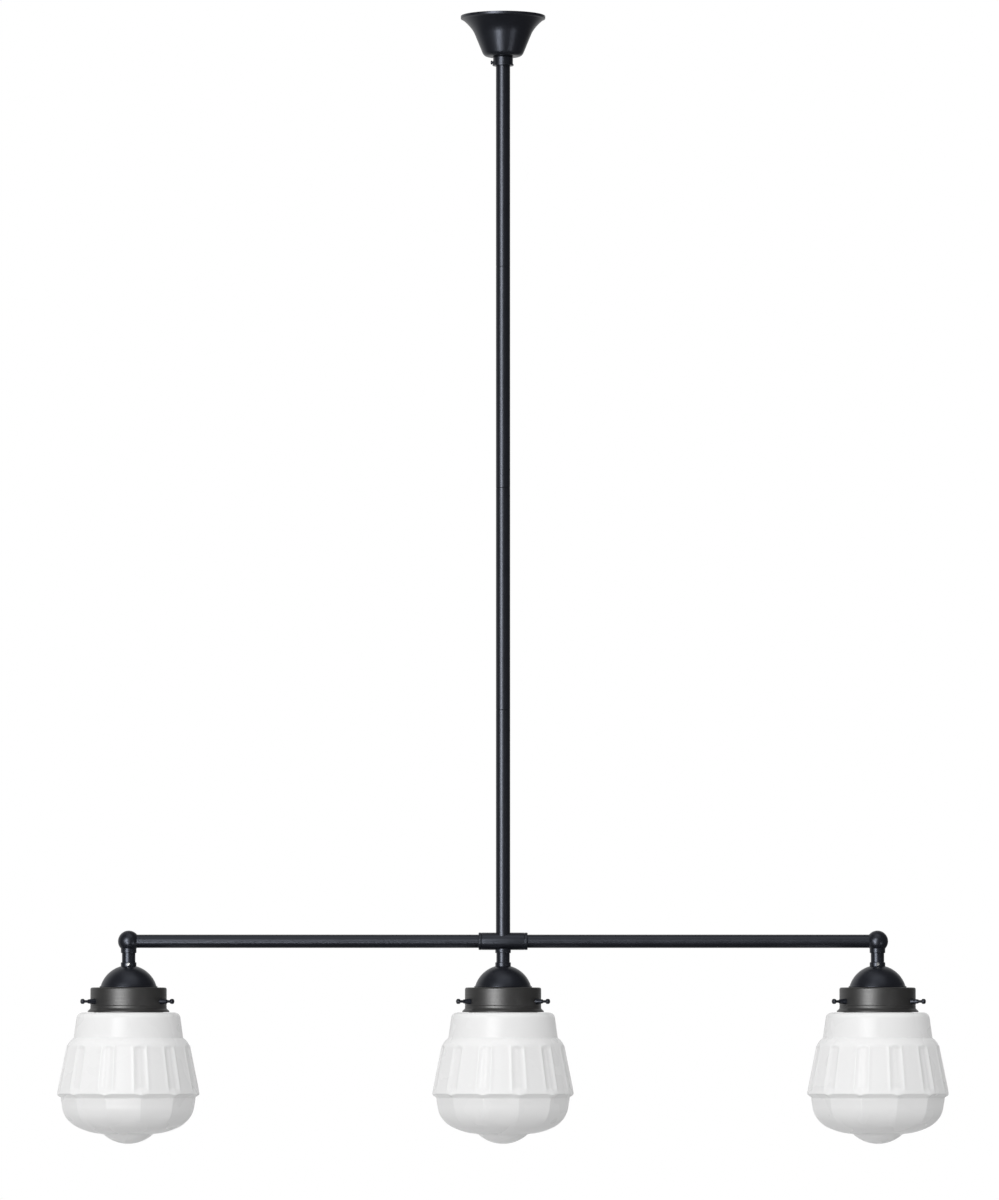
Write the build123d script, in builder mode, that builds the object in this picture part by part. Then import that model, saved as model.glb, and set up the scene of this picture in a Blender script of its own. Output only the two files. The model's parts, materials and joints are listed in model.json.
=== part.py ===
from build123d import *
from math import cos, radians, sin, sqrt
import os

# Linear island pendant: one rod drops from a bell canopy to a bar with three
# lamps, each with a fluted glass shade held in a spun gallery by thumb screws.
#
# Millimetres.  The origin is the middle of the ceiling bracket on the ceiling
# plane, +Z is up, X runs along the bar and -Y is the front.

os.makedirs("parts", exist_ok=True)

# ---- whole fitting ----
drop = 1044.0  # ceiling plane to the axis of the bar
lamp_pitch = 420.0  # between neighbouring lamp axes

# ---- fits ----
thread_gap = 0.05  # radial, between a thread's two cylinders
running_gap = 0.08  # radial, a piece that slides or turns on another
seat_gap = 0.3  # between curved faces of pieces that move apart
cope_gap = 0.02  # between a hollowed face and the round piece it sits on

# ---- ceiling bracket ----
strap_width = 18.0
strap_wall = 2.5
strap_hat = 8.0  # how far the middle hangs below the ceiling
strap_foot = 17.0  # length of each foot
slot_spacing = 69.85
slot_width = 4.5
slot_length = 8.0
slot_margin = 2.075  # from a slot to the end of the strap

# ---- swivel ----
stem_od = 12.0
stem_bore = 8.0
stem_head_d = 17.0
stem_head_h = 2.5
stem_chamfer = 0.4
fork_gap = 0.2  # under the strap, so that the swivel turns
fork_wall = 3.0
fork_bridge = 2.5
pin_d = 5.0
pin_head_d = 7.5
pin_head_h = 1.2
pin_round = 0.5
eye_thickness = 12.0
eye_radius = 6.5
eye_reach = 11.25  # pin to the eye's shoulder
eye_shoulder = 3.0
wire_window = (8.0, 4.5)  # width and height

# ---- terminal block ----
block_size = (26.0, 11.5, 10.0)
block_stand = 4.5  # from the strap to the block
block_chamfer = 0.8
block_screw_d = 3.0
block_screw_depth = 8.0
block_screw_head_d = 5.5
block_screw_head_h = 1.8
block_screw_round = 0.8
terminal_bore = 3.4
terminal_pitch = 16.0  # between the two wire bores

# ---- rod ----
rod_od = 16.0
rod_wall = 1.45
rod_sections = 4
nipple_wall = 2.0
nipple_length = 30.0
seam_chamfer = 0.35

# ---- canopy and its lock collar ----
canopy_height = 46.0
canopy_rim_r = 47.75
canopy_rim_h = 3.0
canopy_rim_step = 0.9
canopy_cove_r = 45.6
canopy_cove_mid_r = 36.7
canopy_cove_mid_drop = 12.7
canopy_waist_r = 31.4
canopy_waist_drop = 21.7
canopy_floor_r = 21.4
canopy_corner = 5.0
canopy_wall = 1.0
canopy_hole_gap = 0.5
collar_height = 10.2
collar_wall = 3.2
collar_flange = 0.7  # how far its foot stands out
collar_foot_h = 1.6
collar_round = 1.0
collar_screw_d = 3.0
collar_screw_head_d = 4.6
collar_screw_head_h = 1.8
collar_screw_round = 1.2
collar_screw_rise = 3.6  # above the collar's lower face

# ---- bar ----
arm_od = 15.0
arm_wall = 1.0
sleeve_wall = 2.25
sleeve_length = 55.0
sleeve_chamfer = 0.5
ball_wall = 4.5  # outside the arm
wireway_d = 8.0
nipple_stand = 1.5  # of a nipple inside the sleeve's bore
arm_inner_gap = 2.5  # from the rod's nipple to an arm
arm_outer_gap = 0.5  # from an arm to the lamp's nipple

# ---- neck of each lamp ----
lamp_nipple_od = 10.0
lamp_nipple_bore = 7.0
neck_od = 15.0
ring_step = 1.25  # how far the ring stands out from the neck
ring_height = 3.4
ring_round = 0.6
foot_collar_wall = 1.25
foot_collar_h = 4.5
foot_collar_round = 0.9
set_screw_d = 2.5
set_screw_head_d = 3.4
set_screw_head_h = 1.2

# ---- dome and gallery ----
gallery_top_drop = 51.8  # bar's axis to the gallery's top
gallery_height = 27.5
gallery_od = 85.5
gallery_wall = 1.0
gallery_corner = 2.4
gallery_lip_reach = 3.0  # beyond the wall
gallery_lip_h = 3.6
gallery_edge_h = 1.0
dome_radius = 32.6
dome_sink = 7.6  # sphere's centre below the gallery's top
dome_wall = 1.0
dome_bead = 0.8

# ---- thumb screws ----
screw_angles = (-150.0, -30.0, 90.0)
screw_rise = 11.8  # above the gallery's lower edge
screw_d = 3.0
screw_stand = 8.85  # from the bush to the knob's end
knob_d = 5.8
knob_h = 3.8
knob_round = 1.2
bush_base_d = 6.6
bush_end_d = 4.6
bush_length = 8.0

# ---- lampholder and bulb ----
holder_wall = 3.9
holder_flange = 2.0  # how far its upper half stands out
holder_length = 42.0
holder_step = 20.0
holder_round = 4.0
holder_thread = 8.0  # depth of the nipple in it
cap_d = 26.4
cap_length = 25.0
cap_wall = 0.65
cap_chamfer = 5.0
socket_depth = 26.0
socket_gap = 0.4
bulb_d = 55.0
bulb_length = 103.0
bulb_wall = 1.0
bulb_swell_angle = 60.0  # from the globe's top to where the neck's curve meets it
bulb_neck_seat = 8.0  # how far the envelope goes up into the cap

# ---- shade: radii, and drops below the gallery's lower edge ----
glass_wall = 3.2
fitter_gap = 0.85  # from the bead to the gallery
fitter_bead_proud = 2.5
fitter_bead_h = 4.0
shoulder_drop = 0.5
shoulder_r = 58.4
shoulder_round = 7.0
band_foot_r = 61.4
band_foot_drop = 28.6
flare_top_r = 69.0
flare_top_drop = 40.9
flare_step_r = 64.6
flare_step_drop = 31.6
crown_r = 67.4  # on the rounded top of the flare
crown_drop = 35.6
flare_foot_r = 78.2
flare_foot_drop = 86.5
rim_r = 79.3
rim_drop = 90.9
rim_height = 1.6
bowl_r = 75.0
bowl_side_r = 73.4
bowl_side_drop = 104.0
bowl_corner_r = 69.6
bowl_corner_drop = 116.6
bowl_floor_r = 57.4
bowl_floor_drop = 128.4
bowl_floor_inset = 1.0  # of the inner face from the outer one
bowl_mid_r = 44.0
bowl_mid_drop = 133.7
nub_ledge_r = 29.4
nub_ledge_drop = 136.3
nub_r = 27.6
nub_sphere = 41.0
shade_depth = 147.4
flute_count = 12
flute_angle = 13.5  # of one groove, to the right of the front
flute_width = 13.5
flute_cutter_r = 14.0
flute_foot_gap = 5.0  # from the groove's full depth to the flare's foot

# ---- worked out from the sizes above ----
bar_z = -drop
strap_length = slot_spacing + slot_length + 2 * slot_margin
strap_web = -(strap_hat + strap_wall)
fork_top = strap_web - fork_gap
pin_z = fork_top - fork_bridge - seat_gap - eye_radius
eye_base = pin_z - eye_reach
rod_top = eye_base - eye_shoulder
rod_bore = rod_od - 2 * rod_wall
nipple_od = rod_bore - 2 * thread_gap
nipple_bore = nipple_od - 2 * nipple_wall
collar_body_d = rod_od + 2 * collar_wall
collar_foot_d = collar_body_d + 2 * collar_flange
sleeve_od = arm_od + 2 * sleeve_wall
ball_d = arm_od + 2 * ball_wall
sleeve_top = bar_z + sleeve_od / 2
section_length = (rod_top - sleeve_top) / rod_sections
nipple_end = arm_od / 2 - nipple_stand
arm_start = nipple_od / 2 + arm_inner_gap
arm_end = lamp_pitch - lamp_nipple_od / 2 - arm_outer_gap
ring_d = neck_od + 2 * ring_step
ring_foot = bar_z - sleeve_od / 2 - thread_gap - ring_height
foot_collar_d = neck_od + 2 * foot_collar_wall
gallery_top = bar_z - gallery_top_drop
gallery_foot = gallery_top - gallery_height
screw_z = gallery_foot + screw_rise
dome_centre = gallery_top - dome_sink
dome_seat = dome_centre + sqrt(dome_radius**2 - (foot_collar_d / 2) ** 2)
dome_foot_r = sqrt(dome_radius**2 - dome_sink**2)
gallery_bore_r = gallery_od / 2 - gallery_wall
gallery_lip_r = gallery_od / 2 + gallery_lip_reach
fitter_bead_r = gallery_bore_r - fitter_gap
fitter_neck_r = fitter_bead_r - fitter_bead_proud
screw_reach = gallery_od / 2 + bush_length + screw_stand
holder_top = gallery_top - gallery_wall
holder_skirt_d = cap_d + 2 * (socket_gap + holder_wall)
holder_d = holder_skirt_d + 2 * holder_flange
bulb_neck_d = cap_d - 2 * (cap_wall + thread_gap)
lamps = {"left": -lamp_pitch, "centre": 0.0, "right": lamp_pitch}
upright_on = (Align.CENTER, Align.CENTER, Align.MIN)
hanging_from = (Align.CENTER, Align.CENTER, Align.MAX)


def upright(x=0.0, z=0.0):
    """A vertical plane through a lamp's axis: local x is radius, local y is height."""
    return Plane((x, 0, z), x_dir=(1, 0, 0), z_dir=(0, -1, 0))


def lamp_axis(x=0.0):
    """The vertical line through a lamp."""
    return Axis((x, 0, 0), (0, 0, 1))


def along_bar(x=0.0, z=0.0):
    """A plane across the bar, whose normal is +X."""
    return Plane((x, 0, z), x_dir=(0, 1, 0), z_dir=(1, 0, 0))


def radial(x, z, angle, distance=0.0):
    """A plane facing out from a lamp's axis in the direction of the angle."""
    out = Vector(cos(radians(angle)), sin(radians(angle)), 0)
    return Plane(Vector(x, 0, z) + out * distance, x_dir=(0, 0, 1), z_dir=out)


def write(piece, name):
    """Labels a finished piece and writes it to its own file."""
    piece.part.label = name
    export_step(piece.part, f"parts/{name}.step")


# ---- ceiling bracket: a hat-shaped strap with a tab for the terminal block ----
riser_x = strap_length / 2 - strap_foot
block_y = strap_width / 2 + block_stand + block_size[1] / 2
with BuildPart() as ceiling_bracket:
    with BuildSketch(Plane.XZ):
        with Locations((0, strap_web)):
            Rectangle(2 * riser_x + 2 * strap_wall, strap_wall, align=(Align.CENTER, Align.MIN))
        with Locations((riser_x, strap_web)):
            Rectangle(strap_wall, -strap_web, align=(Align.MIN, Align.MIN))
        with Locations((riser_x, -strap_wall)):
            Rectangle(strap_foot, strap_wall, align=(Align.MIN, Align.MIN))
        with Locations((-riser_x, strap_web)):
            Rectangle(strap_wall, -strap_web, align=(Align.MAX, Align.MIN))
        with Locations((-riser_x, -strap_wall)):
            Rectangle(strap_foot, strap_wall, align=(Align.MAX, Align.MIN))
    extrude(amount=strap_width / 2, both=True)
    with BuildSketch(Plane.XY.offset(strap_web)):
        with Locations((0, block_y / 2 + block_size[1] / 4)):
            Rectangle(block_size[1], block_y + block_size[1] / 2)
    extrude(amount=strap_wall)
    with Locations(Plane.XY.offset(strap_web)):
        Cylinder(stem_od / 2 + running_gap, strap_wall, align=upright_on, mode=Mode.SUBTRACT)
    with BuildSketch(Plane.XY.offset(-strap_wall)):
        with GridLocations(slot_spacing, 0, 2, 1):
            SlotOverall(slot_length, slot_width)
    extrude(amount=strap_wall, mode=Mode.SUBTRACT)
    with Locations((0, block_y, strap_web)):
        Cylinder(block_screw_d / 2 + running_gap, strap_wall, align=upright_on, mode=Mode.SUBTRACT)
write(ceiling_bracket, "ceiling_bracket")

# ---- terminal block under the tab, and its screw ----
with BuildPart(Plane((0, block_y, strap_web))) as terminal_block:
    Box(*block_size, align=hanging_from)
    chamfer(terminal_block.edges().filter_by(Axis.Z), length=block_chamfer)
    Cylinder(block_screw_d / 2 + thread_gap, block_size[2], align=hanging_from, mode=Mode.SUBTRACT)
    with BuildSketch(Plane((0, block_y, strap_web - block_size[2] / 2), x_dir=(1, 0, 0), z_dir=(0, -1, 0))):
        with GridLocations(terminal_pitch, 0, 2, 1):
            Circle(terminal_bore / 2)
    extrude(amount=block_size[1], both=True, mode=Mode.SUBTRACT)
write(terminal_block, "terminal_block")

with BuildPart(Plane((0, block_y, strap_web))) as terminal_screw:
    Cylinder(block_screw_d / 2, block_screw_depth, align=hanging_from)
    Cylinder(block_screw_d / 2, strap_wall, align=upright_on)
    with Locations((0, 0, strap_wall)):
        Cylinder(block_screw_head_d / 2, block_screw_head_h, align=upright_on)
    fillet(terminal_screw.edges().sort_by(Axis.Z)[-1], radius=block_screw_round)
write(terminal_screw, "terminal_screw")

# ---- swivel: a headed stem through the strap, screwed into a fork ----
ear_x = eye_thickness / 2 + seat_gap
with BuildPart() as swivel_stem:
    with Locations((0, 0, -strap_hat)):
        Cylinder(stem_head_d / 2, stem_head_h, align=upright_on)
    with Locations((0, 0, fork_top - fork_bridge)):
        Cylinder(stem_od / 2, -strap_hat - fork_top + fork_bridge, align=upright_on)
    with Locations((0, 0, -strap_hat + stem_head_h)):
        Cylinder(stem_bore / 2, strap_hat + fork_bridge, align=hanging_from, mode=Mode.SUBTRACT)
    chamfer(swivel_stem.edges().sort_by(Axis.Z)[-2:], length=stem_chamfer)
write(swivel_stem, "swivel_stem")

with BuildPart() as swivel_fork:
    with BuildSketch(Plane.XY.offset(fork_top)):
        Rectangle(2 * (ear_x + fork_wall), 2 * eye_radius)
    extrude(amount=-fork_bridge)
    for side in (-1, 1):
        with BuildSketch(along_bar(side * (ear_x + fork_wall / 2))):
            with Locations((0, pin_z)):
                Circle(eye_radius)
                Rectangle(2 * eye_radius, fork_top - pin_z, align=(Align.CENTER, Align.MIN))
        extrude(amount=fork_wall / 2, both=True)
    with Locations((0, 0, fork_top)):
        Cylinder(stem_od / 2 + thread_gap, fork_bridge, align=hanging_from, mode=Mode.SUBTRACT)
    with Locations(along_bar(0, pin_z)):
        Cylinder(pin_d / 2 + thread_gap, 4 * ear_x, mode=Mode.SUBTRACT)
write(swivel_fork, "swivel_fork")

fork_half = ear_x + fork_wall
with BuildPart(along_bar(0, pin_z)) as swivel_pin:
    Cylinder(pin_d / 2, 2 * fork_half)
    with Locations((0, 0, fork_half), (0, 0, -fork_half - pin_head_h)):
        Cylinder(pin_head_d / 2, pin_head_h, align=upright_on)
    fillet(swivel_pin.edges().group_by(Axis.X)[0], radius=pin_round)
    fillet(swivel_pin.edges().group_by(Axis.X)[-1], radius=pin_round)
write(swivel_pin, "swivel_pin")

# ---- eye on the rod's top end, hollow for the wires ----
with BuildPart() as hanger_eye:
    with BuildSketch(along_bar(0)):
        with Locations((0, pin_z)):
            Circle(eye_radius)
            Rectangle(2 * eye_radius, eye_reach, align=(Align.CENTER, Align.MAX))
    extrude(amount=eye_thickness / 2, both=True)
    with Locations((0, 0, eye_base)):
        Cylinder(rod_od / 2, eye_shoulder, align=hanging_from)
    with Locations((0, 0, rod_top)):
        Cylinder(nipple_od / 2, nipple_length / 2, align=hanging_from)
    with Locations((0, 0, eye_base + wire_window[1] / 2)):
        Cylinder(nipple_bore / 2, eye_shoulder + nipple_length, align=hanging_from, mode=Mode.SUBTRACT)
    with Locations((0, 0, eye_base)):
        Box(wire_window[0], 3 * eye_radius, wire_window[1], align=upright_on, mode=Mode.SUBTRACT)
    with Locations(along_bar(0, pin_z)):
        Cylinder(pin_d / 2 + running_gap, 2 * eye_thickness, mode=Mode.SUBTRACT)
write(hanger_eye, "hanger_eye")

# ---- canopy: a spun bell that slides up the rod ----
with BuildPart() as canopy:
    with BuildSketch(upright()):
        with BuildLine():
            rim_edge = Polyline(
                (canopy_rim_r, 0),
                (canopy_rim_r, -canopy_rim_h),
                (canopy_cove_r, -canopy_rim_h - canopy_rim_step),
            )
            cove = ThreePointArc(
                rim_edge @ 1,
                (canopy_cove_mid_r, -canopy_cove_mid_drop),
                (canopy_waist_r, -canopy_waist_drop),
            )
            Polyline(
                cove @ 1,
                (canopy_floor_r, -canopy_height),
                (0, -canopy_height),
                (0, 0),
                rim_edge @ 0,
            )
        make_face()
    revolve(axis=Axis.Z)
    fillet(canopy.edges().sort_by(Axis.Z)[0], radius=canopy_corner)
    offset(amount=-canopy_wall, openings=canopy.faces().sort_by(Axis.Z)[-1])
    with Locations((0, 0, -canopy_height)):
        Cylinder(rod_od / 2 + canopy_hole_gap, 4 * canopy_wall, mode=Mode.SUBTRACT)
write(canopy, "canopy")

# ---- lock collar under the canopy, and its screw ----
collar_foot = -canopy_height - collar_height
collar_screw_z = collar_foot + collar_screw_rise
with BuildPart(Plane.XY.offset(collar_foot)) as canopy_collar:
    Cylinder(collar_body_d / 2, collar_height, align=upright_on)
    fillet(canopy_collar.edges().sort_by(Axis.Z)[-1], radius=collar_round)
    Cylinder(collar_foot_d / 2, collar_foot_h, align=upright_on)
    Cylinder(rod_od / 2 + running_gap, collar_height, align=upright_on, mode=Mode.SUBTRACT)
    with Locations(radial(0, collar_screw_rise, 180)):
        Cylinder(collar_screw_d / 2 + running_gap, collar_foot_d, align=upright_on, mode=Mode.SUBTRACT)
write(canopy_collar, "canopy_collar")

collar_screw_tip = rod_od / 2 + seat_gap
collar_screw_seat = collar_foot_d / 2 + seat_gap - collar_screw_tip
with BuildPart(radial(0, collar_screw_z, 180, collar_screw_tip)) as canopy_collar_screw:
    Cylinder(collar_screw_d / 2, collar_screw_seat, align=upright_on)
    with Locations((0, 0, collar_screw_seat)):
        Cylinder(collar_screw_head_d / 2, collar_screw_head_h, align=upright_on)
    fillet(canopy_collar_screw.edges().group_by(Axis.X)[0], radius=collar_screw_round)
write(canopy_collar_screw, "canopy_collar_screw")

# ---- rod: tube sections butted over threaded nipples, the last one coped ----
for number in range(rod_sections):
    top = rod_top - number * section_length
    last = number == rod_sections - 1
    with BuildPart(Plane.XY.offset(top)) as rod_section:
        length = section_length + (sleeve_od / 2 if last else 0)
        Cylinder(rod_od / 2, length, align=hanging_from)
        chamfer(rod_section.edges().sort_by(Axis.Z)[-1], length=seam_chamfer)
        if not last:
            chamfer(rod_section.edges().sort_by(Axis.Z)[0], length=seam_chamfer)
        Cylinder(rod_bore / 2, length, align=hanging_from, mode=Mode.SUBTRACT)
        if last:
            with Locations(along_bar(0, bar_z - top)):
                Cylinder(sleeve_od / 2 + cope_gap, 3 * rod_od, mode=Mode.SUBTRACT)
    write(rod_section, f"rod_section_{number + 1}")

joint_heights = [rod_top - (n + 1) * section_length for n in range(rod_sections - 1)]
joint_heights.append(bar_z + nipple_end + nipple_length / 2)
with BuildPart() as rod_nipples:
    with Locations(*[(0, 0, height) for height in joint_heights]):
        Cylinder(nipple_od / 2, nipple_length)
        Cylinder(nipple_bore / 2, nipple_length, mode=Mode.SUBTRACT)
write(rod_nipples, "rod_nipples")

# ---- bar: a cross sleeve and two arms with balls at their ends ----
with BuildPart() as cross_sleeve:
    with Locations(along_bar(0, bar_z)):
        Cylinder(sleeve_od / 2, sleeve_length)
        chamfer(cross_sleeve.edges().filter_by(GeomType.CIRCLE), length=sleeve_chamfer)
        Cylinder(arm_od / 2 + thread_gap, sleeve_length, mode=Mode.SUBTRACT)
    with Locations(Plane.XY.offset(bar_z)):
        Cylinder(nipple_od / 2 + thread_gap, sleeve_od, align=upright_on, mode=Mode.SUBTRACT)
        Cylinder(lamp_nipple_od / 2 + thread_gap, sleeve_od, align=hanging_from, mode=Mode.SUBTRACT)
write(cross_sleeve, "cross_sleeve")

for name, side in (("left", -1), ("right", 1)):
    middle = side * (arm_start + arm_end) / 2
    with BuildPart(along_bar(middle, bar_z)) as arm:
        Cylinder(arm_od / 2, arm_end - arm_start)
        Cylinder(arm_od / 2 - arm_wall, arm_end - arm_start, mode=Mode.SUBTRACT)
    write(arm, f"arm_{name}")

    with BuildPart(Plane((side * lamp_pitch, 0, bar_z))) as end_ball:
        Sphere(ball_d / 2)
        with Locations(along_bar(-side * (lamp_pitch - arm_end))):
            Cylinder(
                arm_od / 2 + thread_gap,
                ball_d,
                align=(Align.CENTER, Align.CENTER, Align.MAX if side > 0 else Align.MIN),
                mode=Mode.SUBTRACT,
            )
            Cylinder(wireway_d / 2, 2 * (lamp_pitch - arm_end), mode=Mode.SUBTRACT)
        Cylinder(lamp_nipple_od / 2 + thread_gap, ball_d, align=hanging_from, mode=Mode.SUBTRACT)
    write(end_ball, f"end_ball_{name}")

# ---- lamp nipples: one threaded tube holds each lamp's stack together ----
lamp_nipple_top = bar_z - nipple_end
lamp_nipple_foot = holder_top - holder_thread
with BuildPart(*[Plane((x, 0, lamp_nipple_top)) for x in lamps.values()]) as lamp_nipples:
    length = lamp_nipple_top - lamp_nipple_foot
    Cylinder(lamp_nipple_od / 2, length, align=hanging_from)
    Cylinder(lamp_nipple_bore / 2, length, align=hanging_from, mode=Mode.SUBTRACT)
write(lamp_nipples, "lamp_nipples")

# ---- necks: seat ring, tube and foot collar on each nipple ----
for name, x in lamps.items():
    with BuildPart(Plane((x, 0, ring_foot))) as neck_ring:
        Cylinder(ring_d / 2, bar_z - ring_foot, align=upright_on)
        fillet(neck_ring.edges().sort_by(Axis.Z)[0], radius=ring_round)
        Cylinder(lamp_nipple_od / 2 + thread_gap, bar_z - ring_foot, align=upright_on, mode=Mode.SUBTRACT)
        with Locations((0, 0, bar_z - ring_foot)):
            if x == 0:
                Cylinder(
                    sleeve_od / 2 + cope_gap, ring_d, rotation=(0, 90, 0), mode=Mode.SUBTRACT
                )
            else:
                Sphere(ball_d / 2 + cope_gap, mode=Mode.SUBTRACT)
    write(neck_ring, f"neck_ring_{name}")

    with BuildPart(Plane((x, 0, dome_seat))) as neck_tube:
        Cylinder(neck_od / 2, ring_foot - dome_seat, align=upright_on)
        Cylinder(
            lamp_nipple_od / 2 + thread_gap, ring_foot - dome_seat, align=upright_on, mode=Mode.SUBTRACT
        )
    write(neck_tube, f"neck_tube_{name}")

    with BuildPart(Plane((x, 0, dome_seat))) as neck_collar:
        Cylinder(foot_collar_d / 2, foot_collar_h, align=upright_on)
        fillet(neck_collar.edges().sort_by(Axis.Z)[-1], radius=foot_collar_round)
        Cylinder(neck_od / 2 + thread_gap, foot_collar_h, align=upright_on, mode=Mode.SUBTRACT)
        with Locations(radial(0, foot_collar_h / 2, 90 if x == 0 else -90)):
            Cylinder(
                set_screw_d / 2 + thread_gap, foot_collar_d, align=upright_on, mode=Mode.SUBTRACT
            )
    write(neck_collar, f"neck_collar_{name}")

set_screw_tip = neck_od / 2 + thread_gap
set_screw_z = dome_seat + foot_collar_h / 2
set_screw_planes = [
    radial(x, set_screw_z, 90 if x == 0 else -90, set_screw_tip) for x in lamps.values()
]
with BuildPart(*set_screw_planes) as neck_set_screws:
    Cylinder(set_screw_d / 2, foot_collar_d / 2 - set_screw_tip, align=upright_on)
    with Locations((0, 0, foot_collar_d / 2 - set_screw_tip)):
        Cylinder(set_screw_head_d / 2, set_screw_head_h, align=upright_on)
write(neck_set_screws, "neck_set_screws")

# ---- dome: a spherical cup on the gallery, flat where the neck stands ----
for name, x in lamps.items():
    with BuildPart() as dome:
        with BuildSketch(upright(x, dome_centre)):
            Circle(dome_radius)
            Circle(dome_radius - dome_wall, mode=Mode.SUBTRACT)
            with Locations((0, dome_seat - dome_centre - dome_wall)):
                Rectangle(foot_collar_d, dome_wall, align=(Align.CENTER, Align.MIN))
            with Locations((0, dome_seat - dome_centre)):
                Rectangle(
                    foot_collar_d, dome_wall * 4, align=(Align.CENTER, Align.MIN), mode=Mode.SUBTRACT
                )
            with Locations((dome_foot_r, dome_sink + dome_bead)):
                Circle(dome_bead)
            with Locations((0, dome_sink)):
                Rectangle(
                    3 * dome_radius, 3 * dome_radius, align=(Align.CENTER, Align.MAX), mode=Mode.SUBTRACT
                )
            Rectangle(
                2 * dome_radius, 3 * dome_radius, align=(Align.MAX, Align.CENTER), mode=Mode.SUBTRACT
            )
        revolve(axis=lamp_axis(x))
        with Locations((x, 0, dome_seat)):
            Cylinder(lamp_nipple_od / 2 + thread_gap, 4 * dome_wall, mode=Mode.SUBTRACT)
    write(dome, f"dome_{name}")

# ---- gallery: a spun ring cup with a flared lip ----
for name, x in lamps.items():
    with BuildPart() as gallery:
        with BuildSketch(upright(x, gallery_foot)) as shell:
            with BuildLine():
                Polyline(
                    (0, gallery_height),
                    (gallery_od / 2, gallery_height),
                    (gallery_od / 2, gallery_lip_h),
                    (gallery_lip_r, gallery_edge_h),
                    (gallery_lip_r, 0),
                    (gallery_lip_r - gallery_wall, 0),
                    (gallery_bore_r, gallery_lip_h),
                    (gallery_bore_r, gallery_height - gallery_wall),
                    (0, gallery_height - gallery_wall),
                    close=True,
                )
            make_face()
            outer = (gallery_od / 2, gallery_height)
            fillet(shell.vertices().sort_by_distance(outer)[0], gallery_corner)
            inner = (gallery_bore_r, gallery_height - gallery_wall)
            fillet(shell.vertices().sort_by_distance(inner)[0], gallery_corner - gallery_wall)
        revolve(axis=lamp_axis(x))
        with Locations((x, 0, gallery_top)):
            Cylinder(lamp_nipple_od / 2 + thread_gap, 4 * gallery_wall, mode=Mode.SUBTRACT)
        with Locations(*[radial(x, screw_z, angle) for angle in screw_angles]):
            Cylinder(screw_d / 2 + running_gap, gallery_od, align=upright_on, mode=Mode.SUBTRACT)
    write(gallery, f"gallery_{name}")

# ---- screw bushes: tapered nuts riveted to the galleries ----
bush_planes = [
    radial(x, screw_z, angle, gallery_od / 2) for x in lamps.values() for angle in screw_angles
]
with BuildPart(*bush_planes) as screw_bushes:
    Cone(bush_base_d / 2, bush_end_d / 2, bush_length, align=upright_on)
    Cylinder(screw_d / 2 + running_gap, bush_length, align=upright_on, mode=Mode.SUBTRACT)
write(screw_bushes, "screw_bushes")

# ---- thumb screws: each stops just short of the glass below its bead ----
screw_tip = fitter_neck_r + seat_gap
for name, x in lamps.items():
    for letter, angle in zip("abc", screw_angles):
        with BuildPart(radial(x, screw_z, angle, screw_tip)) as thumb_screw:
            with BuildSketch(radial(x, screw_z, angle, screw_reach - knob_h)):
                Circle(knob_d / 2)
            extrude(amount=knob_h)
            fillet(thumb_screw.edges(), radius=knob_round)
            Cylinder(screw_d / 2, screw_reach - knob_h / 2 - screw_tip, align=upright_on)
        write(thumb_screw, f"thumb_screw_{name}_{letter}")

# ---- lampholders: screwed on the nipple's lower end ----
for name, x in lamps.items():
    with BuildPart(Plane((x, 0, holder_top))) as lampholder:
        Cylinder(holder_d / 2, holder_step, align=hanging_from)
        fillet(lampholder.edges().sort_by(Axis.Z)[-1], radius=holder_round)
        with Locations((0, 0, -holder_step)):
            Cylinder(holder_skirt_d / 2, holder_length - holder_step, align=hanging_from)
        with Locations((0, 0, -holder_length)):
            Cylinder(cap_d / 2 + socket_gap, socket_depth, align=upright_on, mode=Mode.SUBTRACT)
        Cylinder(lamp_nipple_od / 2 + thread_gap, holder_thread, align=hanging_from, mode=Mode.SUBTRACT)
        Cylinder(lamp_nipple_bore / 2, holder_length, align=hanging_from, mode=Mode.SUBTRACT)
    write(lampholder, f"lampholder_{name}")

# ---- bulbs: a screw cap up against the socket's floor, and an envelope ----
cap_top = holder_top - holder_length + socket_depth
cap_foot = cap_top - cap_length
bulb_centre = cap_top - bulb_length + bulb_d / 2
swell = radians(bulb_swell_angle)
globe_start = (bulb_d / 2 * sin(swell), bulb_d / 2 * cos(swell))
for name, x in lamps.items():
    with BuildPart(Plane((x, 0, cap_top))) as bulb_cap:
        Cylinder(cap_d / 2, cap_length, align=hanging_from)
        chamfer(bulb_cap.edges().sort_by(Axis.Z)[-1], length=cap_chamfer)
        with Locations((0, 0, -cap_length)):
            Cylinder(
                bulb_neck_d / 2 + thread_gap, bulb_neck_seat, align=upright_on, mode=Mode.SUBTRACT
            )
    write(bulb_cap, f"bulb_cap_{name}")

    with BuildPart() as bulb_envelope:
        with BuildSketch(upright(x, bulb_centre)):
            with BuildLine():
                neck_foot = (bulb_neck_d / 2, cap_foot - bulb_centre)
                neck = Line((bulb_neck_d / 2, cap_foot + bulb_neck_seat - bulb_centre), neck_foot)
                shoulder = TangentArc(neck_foot, globe_start, tangent=neck % 1)
                globe = RadiusArc(shoulder @ 1, (0, -bulb_d / 2), bulb_d / 2)
                Polyline(globe @ 1, (0, (neck @ 0).Y), neck @ 0)
            make_face()
        revolve(axis=lamp_axis(x))
        offset(amount=-bulb_wall, openings=bulb_envelope.faces().sort_by(Axis.Z)[-1])
    write(bulb_envelope, f"bulb_envelope_{name}")

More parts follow.
